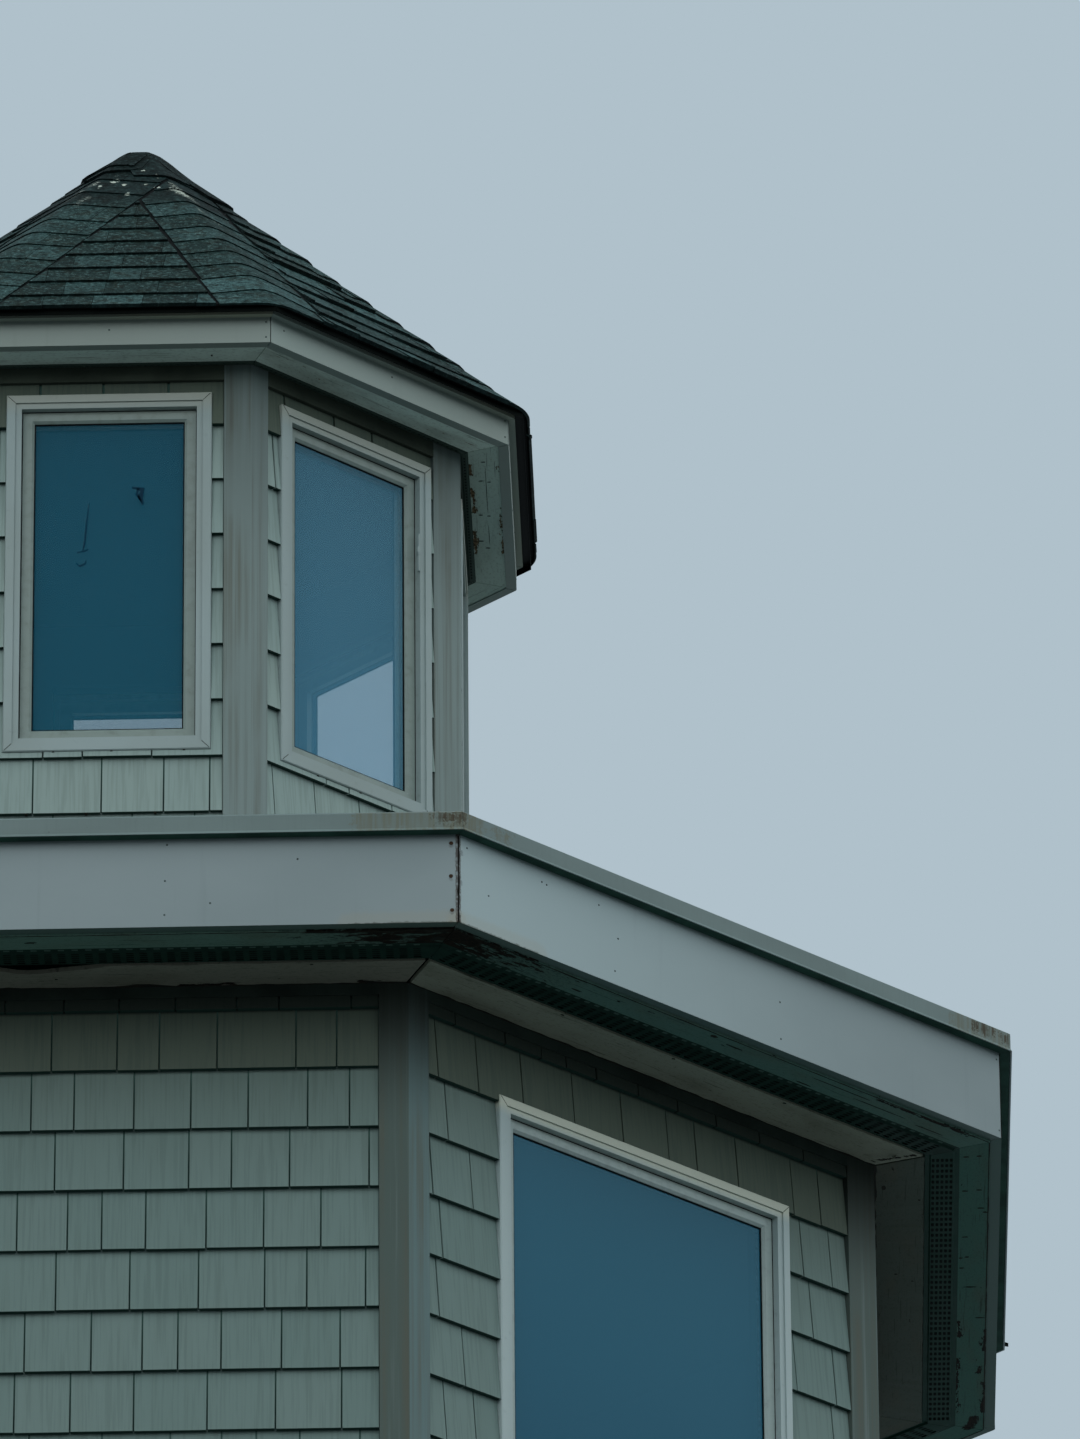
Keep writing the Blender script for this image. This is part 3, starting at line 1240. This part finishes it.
glazing = {
    "casing": 0.026,
    "liner": 0.018,
    "sash": 0.036,
    "face": 0.022,
    "setback": 0.039,        # from the casing's face to the pane's
    "gasket": 0.0035,
    "mitre": 0.0012,
    "sashBack": 0.027,       # from the casing's face to the sash's
    "mitreInset": (0.004, 0.0255),        # where a mitre's line starts and ends, in from the casing's corner
    "slot": 0.003,
    "weep": (0.007, 0.005, 0.003),
    "lanternWeeps": (-0.153, 0.014, 0.222),
    "bodyWeeps": (-0.40, 0.0, 0.40),
    "footWeeps": (-0.228, -0.057, 0.141),
    "footWeepLevel": 6.808,
}


# four bars round an opening; the upright ones stop short of the others
def barsRound(left, right, low, high, wide, short):
    return [(left, right, high - wide, high), (left, right, low, low + wide),
            (left, left + wide, low + short, high - short), (right - wide, right, low + short, high - short)]


def windowTrim(gaskets, lines, side, wall, window, weeps):
    width, height, sill = window
    face = wall + glazing["face"]

    def opening(inset):
        return (inset - width / 2, width / 2 - inset, sill + inset, sill + height - inset)

    edge = glazing["casing"] + glazing["liner"]
    paneOut, sashOut = face - glazing["setback"], face - glazing["sashBack"] + 0.0004
    for bar in barsRound(*opening(edge + glazing["sash"]), glazing["gasket"], glazing["gasket"]):
        gaskets.slab(side, paneOut + 0.003, paneOut, rectangle(*bar))
    # the open slot between the sash and the liner
    for bar in barsRound(*opening(edge), glazing["slot"], 0):
        gaskets.slab(side, sashOut, sashOut - 0.0006, rectangle(*bar))
    half, (start, end) = glazing["mitre"] / 2, glazing["mitreInset"]
    for across in (-1, 1):
        for up in (-1, 1):
            x0, z0 = across * width / 2, sill + height / 2 + up * height / 2
            corners = [(x0 - across * (step + hand * half), z0 - up * (step - hand * half))
                       for step, hand in ((start, 1), (end, 1), (end, -1), (start, -1))]
            lines.slab(side, face + 0.0003, face - 0.0002, corners)
    for along in weeps:
        weepTab(lines, side, face - 0.008, along, sill)


def weepTab(shape, side, out, along, height):
    long, deep, tall = glazing["weep"]
    corners = rectangle(along - long / 2, along + long / 2, height - tall, height + 0.0005)
    shape.slab(side, out + deep, out - deep, corners)


gasketShape, lineShape = Shape(), Shape()
for side in range(plan["sides"]):
    windowTrim(gasketShape, lineShape, side, plan["lanternWall"], plan["lanternWindow"],
               glazing["lanternWeeps"])
    for along in glazing["footWeeps"]:
        weepTab(lineShape, side, plan["lanternWall"] + 0.011, along, glazing["footWeepLevel"])
    if not isSquare(side):
        for name in ("upperWindow", "groundWindow"):
            windowTrim(gasketShape, lineShape, side, plan["bodyWall"], plan[name], glazing["bodyWeeps"])
gasketShape.place("windowGaskets", "gasketRubber", "window_frame")
lineShape.place("casingLinesAndWeeps", "darkGrime", "window_frame")

# marks on the front lantern pane, in millimetres: the middle line of each and its half width
smudges = [
    ([(66, 7868), (96, 7862), (90, 7836), (98, 7812)], 7),
    ([(84, 7868), (80, 7846), (94, 7822)], 5),
    ([(-58, 7820), (-64, 7760), (-70, 7690), (-76, 7664)], 2.5),
    ([(-92, 7660), (-70, 7664), (-58, 7670)], 3),
    ([(-94, 7626), (-84, 7616), (-68, 7622), (-66, 7634)], 3),
]


def glassSmudges():
    shape, dice = Shape(), random.Random(2)
    out = plan["lanternWall"] + glazing["face"] - glazing["setback"]
    for spots, half in smudges:
        upper, lower = [], []
        for number, (along, height) in enumerate(spots):
            before, after = spots[max(number - 1, 0)], spots[min(number + 1, len(spots) - 1)]
            run = Vector((after[0] - before[0], after[1] - before[1])).normalized()
            reach = half * (0.4 if number in (0, len(spots) - 1) else dice.uniform(0.8, 1.2))
            upper.append((along - run.y * reach, height + run.x * reach))
            lower.append((along + run.y * reach, height - run.x * reach))
        for number in range(len(spots) - 1):
            corners = (upper[number], upper[number + 1], lower[number + 1], lower[number])
            shape.slab(0, out + 0.0004, out + 0.0001, [millimetres(*corner) for corner in corners])
    shape.place("paneSmudges", "glassSmudge", "window_glass")


glassSmudges()

# a split and lifted bead of caulk on the right casing of a lantern window
bead = {"side": 1, "foot": 7.800, "step": 0.010, "steps": 12, "along": 0.2455, "split": (6, 7), "lean": 0.004,
        "bulge": 0.0035, "flat": 0.25}


def caulkBead():
    shape, loops = Shape(), []
    face = plan["lanternWall"] + glazing["face"]
    for step in range(bead["steps"] + 1):
        split = step in bead["split"]
        bulge = bead["bulge"] * (1.0 if split else bead["flat"])
        middle = bead["along"] - (bead["lean"] if split else 0.0)
        section = ((-0.006, -0.0025), (bulge, -0.0015 - bulge), (bulge, 0.0015 + bulge), (-0.006, 0.0025))
        height = bead["foot"] + step * bead["step"]
        loops.append(ring(bead["side"], [(face + a, middle + b, height) for a, b in section]))
    shape.rail(loops)
    shape.place("casingCaulkBead", "casingPaint", "window_frame")


caulkBead()
print("turret: window trim made")

# which way the roof's shingles lie: strips over each hip, cut courses up the middle of each facet
roofPattern = {
    # lines where they meet, by side: x and its change per metre up the slope, left line and right line
    "cuts": {0: ((-0.325, 0.326), (0.323, -0.265)), 1: ((-0.30, 0.27), (0.40, -0.33))},
    "otherCuts": ((-0.35, 0.30), (0.35, -0.30)),
    # lower edges up each hip, numbered by the side left of it
    "hipCourses": {0: [0.147, 0.298, 0.432, 0.570, 0.706, 0.842, 0.984],
                   7: [0.12, 0.262, 0.39, 0.534, 0.683, 0.81, 0.955, 1.112, 1.25]},
    "exposure": 0.139,
    "hipTop": 1.58,
    "stations": [-0.26, -0.17, -0.11, -0.075] + [step * 0.0125 for step in range(-5, 6)]
                + [0.075, 0.11, 0.17, 0.26],
    "butts": [-0.013, 0.10, 0.24, 0.376, 0.517, 0.649, 0.781, 0.92, 1.049, 1.19],
    "frontJoints": [[-0.187, -0.042, 0.104, 0.263], [-0.133, -0.014, 0.142], [-0.193, -0.009, 0.084],
                    [-0.121, 0.023, 0.146], [-0.012, 0.132], [-0.038], [0.041], [0.03], []],
    "frontTones": [[0.3, 0.4, 0.75, 0.3, 0.7], [0.25, 0.6, 0.35, 0.4], [0.5, 0.3, 0.65, 0.3],
                   [0.2, 0.6, 0.3, 0.6], [0.4, 0.2, 0.45], [0.55, 0.35], [0.4, 0.15], [0.45, 0.3], [0.3]],
    "slants": {0: 0.0, 7: 0.006, 1: 0.10, 2: 0.04},      # how far a piece's lower edge leans, by hip
    "under": -0.002,
    "ragged": 0.0045,
    "foot": -0.35,                        # pieces over a hip start below the eave and are cut there
    "firstCourse": (0.12, 0.14),
    "hipTones": (0.42, 0.66),
    "paleTone": 0.88,
    "middleTones": (0.3, 0.85),
    "reach": 0.36,                        # the middle pieces' joints lie within this, their ends beyond
    "beyond": 0.5,
    # how uneven the cut edges are, of pieces over a hip and of middle pieces; the second pair is side 1's
    "cutShifts": ((-0.002, 0.002), (-0.022, 0.014)),
    "cutUneven": ((-0.001, 0.001), (-0.024, 0.010)),
}


# what is left of a loop where across*x + up*y is at most limit
def clipped(loop, across, up, limit):
    kept = []
    depths = [across * x + up * y - limit for x, y in loop]
    for step, (here, depth) in enumerate(zip(loop, depths)):
        after = (step + 1) % len(loop)
        if depth <= 0:
            kept.append(here)
        if depth * depths[after] < 0:
            share = depth / (depth - depths[after])
            kept.append(tuple(a + (b - a) * share for a, b in zip(here, loop[after])))
    return kept


def roundOf(loop):
    return zip(loop, loop[1:] + loop[:1])


def loopArea(loop):
    return abs(sum(a[0] * b[1] - b[0] * a[1] for a, b in roundOf(loop))) / 2


# a thin sheet over the roof: loops in the roof's own measures, walls only along the sheet's outer edges
def laySheet(shape, loops, spot, levels, lifts, tone):
    loops = [loop for loop in loops if len(loop) > 2 and loopArea(loop) > 0.0000004]

    def edgeKey(a, b):
        return tuple(sorted((tuple(round(v, 6) for v in a), tuple(round(v, 6) for v in b))))

    counts = {}
    for loop in loops:
        for a, b in roundOf(loop):
            counts[edgeKey(a, b)] = counts.get(edgeKey(a, b), 0) + 1
    for loop in loops:
        top = []
        for u, h in loop:
            share = (h - levels[0]) / (levels[1] - levels[0])
            top.append(spot(u, h, lifts[0] + (lifts[1] - lifts[0]) * min(max(share, 0.0), 1.0)))
        under = [spot(u, h, roofPattern["under"]) for u, h in loop]
        shape.face(top, tone)
        shape.face(under[::-1], tone, 1.0)
        for step, here in enumerate(loop):
            after = (step + 1) % len(loop)
            if counts[edgeKey(here, loop[after])] == 1:
                shape.face([under[step], under[after], top[after], top[step]], tone, 0.8)


# hand is -1 on the side left of a hip and 1 on the side right of it; u runs across the hip, h up it
def hipSpot(hip, u, h, lift):
    hand = -1 if u <= 0 else 1
    side = hip if hand < 0 else hip + 1
    x = hand * (hipSide * h - hipCorner) + hipUp * u
    return roofPoint(side % 8, x, hipUp * h - hand * hipSide * u, lift)


# a facet's limit a*x + b*s <= c in the measures of its hip
def hipLimit(hand, a, b, c):
    return (hipUp * a - hand * hipSide * b, hand * hipSide * a + hipUp * b, c + hand * hipCorner * a)


def cutLines(side):
    return roofPattern["cuts"].get(side % 8, roofPattern["otherCuts"])


# all the limits of a piece over a hip, on one of its hands
def hipLimits(hip, hand, eave, cutShift):
    (leftPlace, leftLean), (rightPlace, rightLean) = cutLines(hip if hand < 0 else hip + 1)
    gap = roofing["cutGap"] + cutShift
    limits = [(0, -1, eave)]
    if hand < 0:
        limits += [(-1, rightLean, -rightPlace - gap), (-1, leftLean, -leftPlace - gap),
                   (-1, hipLean, hipCorner)]
    else:
        limits += [(1, -leftLean, leftPlace - gap), (1, hipLean, hipCorner)]
    return [hipLimit(hand, *limit) for limit in limits]


def hipShingles(shape, dice):
    gap, stations = roofing["gap"] / 2, roofPattern["stations"]
    for hip in range(8):
        levels = [roofPattern["foot"]]
        levels += roofPattern["hipCourses"].get(hip, [dice.uniform(*roofPattern["firstCourse"])])
        while levels[-1] < roofPattern["hipTop"]:
            levels.append(levels[-1] + roofPattern["exposure"] + dice.uniform(-0.003, 0.003))
        for course, (low, high) in enumerate(pairs(levels)):
            first = (hip, course) == (0, 1)       # one pale piece across the front right hip
            places = (dice.uniform(-0.15, -0.05), dice.uniform(0.05, 0.15))
            joints = [place for place in places if dice.random() < 0.4]
            joints = [] if first else joints
            for start, end in pairs([stations[0]] + joints + [stations[-1]]):
                tone = roofPattern["paleTone"] if first else dice.uniform(*roofPattern["hipTones"])
                lifts = (dice.uniform(*roofing["liftedHip"]), 0.0008) if hip == 1 else roofing["hipLift"]
                slant = dice.uniform(-1, 1) * roofPattern["slants"].get(hip, 0.012)
                drop = dice.uniform(-0.0015, 0.0015)
                eave = roofing["overhang"] + dice.uniform(-1, 1) * roofPattern["ragged"]
                left, right = start + (gap if start in joints else 0), end - (gap if end in joints else 0)
                inner = [place for place in stations if left + 0.002 < place < right - 0.002]
                shifts, loops = {}, []
                for hand in (-1, 1):
                    shifts[hand] = dice.uniform(*roofPattern["cutShifts"][hip == 0 and hand > 0])
                for near, far in pairs([left] + inner + [right]):
                    hand = -1 if far <= 0.00001 else 1
                    loop = [(near, low + drop + slant * near), (far, low + drop + slant * far),
                            (far, high + roofing["lap"]), (near, high + roofing["lap"])]
                    for limit in hipLimits(hip, hand, eave, shifts[hand]):
                        loop = clipped(loop, *limit)
                    loops.append(loop)
                laySheet(shape, loops, lambda u, h, lift: hipSpot(hip, u, h, lift),
                         (max(low, 0.0), high), lifts, tone)


def middleShingles(shape, dice):
    gap, lap = roofing["gap"] / 2, roofing["lap"]
    for side in range(8):
        (leftPlace, leftLean), (rightPlace, rightLean) = cutLines(side)
        before = []
        for course, (low, high) in enumerate(pairs(roofPattern["butts"])):
            nudge = dice.uniform(-0.016, 0.016) if side and course else 0.0
            joints = freshJoints(-roofPattern["reach"], roofPattern["reach"], before, dice)
            tones = [dice.uniform(*roofPattern["middleTones"]) for joint in joints + [0]]
            if side == 0:
                joints, tones = roofPattern["frontJoints"][course], roofPattern["frontTones"][course]
            places = [-roofPattern["beyond"]] + joints + [roofPattern["beyond"]]
            for number, (start, end) in enumerate(pairs(places)):
                drop = dice.uniform(-1, 1) * (0.0015 if course else roofPattern["ragged"])
                bottom = low + nudge + drop
                loop = rectangle(start + gap, end - gap, bottom, high + nudge + lap)
                cutGap = roofing["cutGap"] + dice.uniform(*roofPattern["cutUneven"][side == 1])
                loop = clipped(loop, -1, leftLean, -leftPlace - cutGap)
                loop = clipped(loop, 1, -rightLean, rightPlace - cutGap)
                more = dice.uniform(0.8, 1.7) if side == 1 else 1.0
                lifts = (roofing["middleLift"][0] * more, roofing["middleLift"][1])
                laySheet(shape, [loop], lambda x, s, lift: roofPoint(side, x, s, lift),
                         (max(bottom, 0.0), high), lifts, tones[number])
            before = joints


# ragged pieces bent over the blunt top: hip, lower edge left and right up the hip, reach left and right, lift
roofCaps = [
    (4, 1.36, 1.40, 0.11, 0.12, 0.0050), (2, 1.44, 1.40, 0.12, 0.10, 0.0060),
    (6, 1.42, 1.46, 0.10, 0.11, 0.0066), (3, 1.47, 1.46, 0.10, 0.11, 0.0078),
    (1, 1.323, 1.335, 0.12, 0.13, 0.0120), (5, 1.50, 1.47, 0.10, 0.12, 0.0090),
    (0, 1.405, 1.395, 0.12, 0.11, 0.0096), (7, 1.440, 1.474, 0.11, 0.134, 0.0112),
    (7, 1.525, 1.500, 0.10, 0.085, 0.0150), (6, 1.515, 1.530, 0.13, 0.09, 0.0170),
]
capping = {
    "columns": 12,
    "rows": [0.0, 0.25, 0.5, 0.75, 0.9, 1.0],
    "rim": 1.6603,                        # how far up the hip the blunt top starts
    "over": [(1.678, 0.008), (1.700, 0.006)],      # the two rows beyond it, and how uneven they are
    "uneven": 0.005,
    "stand": 0.008,                       # how far the pieces stand away from the blunt top's edge
    "standRight": 0.005,
    "standing": (1.54, 0.07, 1.71, 0.035),         # where that starts and ends, each with its length
    "tones": (0.25, 0.5),
}


# a point of a cap piece that lies over a hip; u runs across the hip, h up it
def capSpot(hip, u, h, up):
    reach = roofing["eave"] - (roofing["eave"] - roofing["apex"]) * min(hipUp * h / roofLength, 1.0)
    swing = u * cos(pi / 8) / reach
    swing = swing / (1 + abs(swing) / 2.2)
    bearing = hip * 45 + 22.5 + swing * 180 / pi
    side = floor(bearing / 45 + 0.5)
    place = roofPoint(side % 8, reach * tan(radians(bearing - side * 45)), hipUp * h, up)
    start, growing, end, fading = capping["standing"]
    push = max(0.0, min((h - start) / growing, 1.0, (end - h) / fading)) if up > 0 else 0.0
    turn, stand = radians(bearing - 90), capping["stand"]
    return place + Vector((cos(turn) * stand + capping["standRight"], sin(turn) * stand, 0)) * push


def capShingles(shape, dice):
    columns, uneven = capping["columns"], capping["uneven"]
    for hip, lowLeft, lowRight, reachLeft, reachRight, lift in roofCaps:
        grid = []
        for column in range(columns + 1):
            share = column / columns
            u = -reachLeft + (reachLeft + reachRight) * share
            low = lowLeft + (lowRight - lowLeft) * share + dice.uniform(-uneven, uneven)
            grid.append([(u, low + (capping["rim"] - low) * row) for row in capping["rows"]]
                        + [(u, level + dice.uniform(-ragged, ragged)) for level, ragged in capping["over"]])
        loops = [[here[row], after[row], after[row + 1], here[row + 1]]
                 for here, after in pairs(grid) for row in range(len(grid[0]) - 1)]
        laySheet(shape, loops, lambda u, h, up: capSpot(hip, u, h, up), (min(lowLeft, lowRight), 1.63),
                 (lift, 0.002 + lift * 0.3), dice.uniform(*capping["tones"]))


roofShape, roofDice = Shape(), random.Random(roofing["seed"])
hipShingles(roofShape, roofDice)
middleShingles(roofShape, roofDice)
capShingles(roofShape, roofDice)
roofShape.place("roofShingles", "roofShingle", "asphalt_shingle", smooth=True)
print("turret: roof laid")

lowRoof = {"edges": [2.497, 2.02, 1.54, 1.053], "lap": 0.05, "thick": 0.003, "fall": 6.0, "strip": 0.075}


def lowRoofHeight(out):
    return plan["fasciaTop"] + (plan["fasciaBack"] - out) / lowRoof["fall"]


# membrane sheets that lap down the low roof, strips over its hips
def lowRoofSheets():
    shape, thick, edges, strip = Shape(), lowRoof["thick"], lowRoof["edges"], lowRoof["strip"]
    for side in range(plan["sides"]):
        for course, (outer, inner) in enumerate(pairs(edges)):
            top = max(inner - lowRoof["lap"], edges[-1])
            near, far = [], []
            for out, hand, lift in ((outer, -1, 2), (outer, 1, 2), (top, 1, 1), (top, -1, 1)):
                along, level = hand * (out * slope - 0.0005), lowRoofHeight(out)
                near.append(atSide(side, out, along, level + lift * thick))
                far.append(atSide(side, out, along, level + 0.0002))
            shape.block(near, far, 0.4 + 0.1 * course)
        loops = []
        for out in edges:
            ridge = [(side, out * slope - strip), (side, out * slope), (side + 1, strip - out * slope)]
            upper, lower = ([atSide(edge, out, along, lowRoofHeight(out) + lift * thick)
                             for edge, along in ridge] for lift in (2.6, 1.0))
            loops.append(upper + lower[::-1])
        shape.rail(loops, 0.8)
    shape.place("lowRoofSheets", "membrane", "membrane")


lowRoofSheets()
print("turret: low roof laid")

studio = {
    "background": (176, 193, 203),
    "horizon": (1.50, 1.56, 1.58, 1),
    "farHorizon": (1.80, 1.92, 1.97, 1),
    "zenith": (0.92, 0.95, 0.97, 1),
    "below": (0.10, 0.115, 0.12, 1),
    "floor": ((190, 200, 204), (186, 196, 200)),
    "floorDark": (92, 98, 98),
    "floorRadius": 8.0,
    "lamp": {"place": (-7, -15, 13), "size": 8, "power": 300},
}


def makeWorld():
    world = bpy.data.worlds.new("studio")
    bpy.context.scene.world = world
    world.use_nodes = True
    world.node_tree.nodes.clear()
    tree = NodeTree(world.node_tree)
    up = tree.node("SeparateXYZ", None, {0: tree.node("TexCoord", output="Generated")}, 2)
    right = up.other(0)
    light = tree.mix(tree.rise(right, 0.1, 0.9), studio["horizon"], studio["farHorizon"])
    light = tree.mix(tree.rise(up, 0.02, 0.14), studio["below"], light)
    light = tree.mix(tree.rise(up, 0.14, 0.9), light, studio["zenith"])
    light = tree.mix(tree.shown(), light, studio["background"])
    tree.node("OutputWorld", None, {0: tree.node("Background", None, {0: light})})


def makeLamp():
    look = studio["lamp"]
    lamp = bpy.data.lights.new("softLamp", "AREA")
    lamp.shape, lamp.size, lamp.energy = "DISK", look["size"], look["power"]
    holder = bpy.data.objects.new("softLamp", lamp)
    holder.location = look["place"]
    holder.rotation_euler = (Vector((0, 0, 7)) - Vector(look["place"])).to_track_quat("-Z", "Y").to_euler()
    bpy.context.scene.collection.objects.link(holder)


# a plain disc; rays that show it find it pale, rays that only light the turret find it darker
def makeFloor():
    finish = Finish("studioFloorPaint", studio, Roughness=0.9)
    cloud = finish.noise(0.6)
    finish.colour = finish.mix(finish.rise(cloud, 0.4, 0.6), *studio["floor"])
    finish.colour = finish.mix(finish.shown(), studio["floorDark"], finish.colour)
    ground, work = bpy.data.meshes.new("studioFloor"), bmesh.new()
    bmesh.ops.create_circle(work, cap_ends=True, segments=96, radius=studio["floorRadius"])
    work.to_mesh(ground)
    work.free()
    ground.materials.append(finish.done(0.85 + cloud * 0.1))
    piece = bpy.data.objects.new("studioFloor", ground)
    bpy.context.scene.collection.objects.link(piece)


makeWorld()
makeLamp()
makeFloor()

view = {
    "place": (1.877, -33.246, -8.802),
    "heading": -1.128,
    "rise": 26.2171,
    "roll": -0.4839,
    "lens": 314.12,
}


def makeCamera():
    heading, rise, roll = (radians(view[key]) for key in ("heading", "rise", "roll"))
    ahead = Vector((sin(heading) * cos(rise), cos(heading) * cos(rise), sin(rise)))
    right = ahead.cross(Vector((0, 0, 1))).normalized()
    up = right.cross(ahead)
    rolledRight, rolledUp = right * cos(roll) + up * sin(roll), up * cos(roll) - right * sin(roll)
    camera = bpy.data.cameras.new("photographView")
    camera.sensor_fit, camera.sensor_height, camera.sensor_width = "VERTICAL", 36, 36
    camera.lens, camera.clip_end = view["lens"], 200
    holder = bpy.data.objects.new("photographView", camera)
    matrix = Matrix((rolledRight, rolledUp, -ahead)).transposed().to_4x4()
    matrix.translation = Vector(view["place"])
    holder.matrix_world = matrix
    bpy.context.scene.collection.objects.link(holder)
    bpy.context.scene.camera = holder


makeCamera()
bpy.context.scene.view_settings.view_transform = "Standard"

print("turret: scene ready")
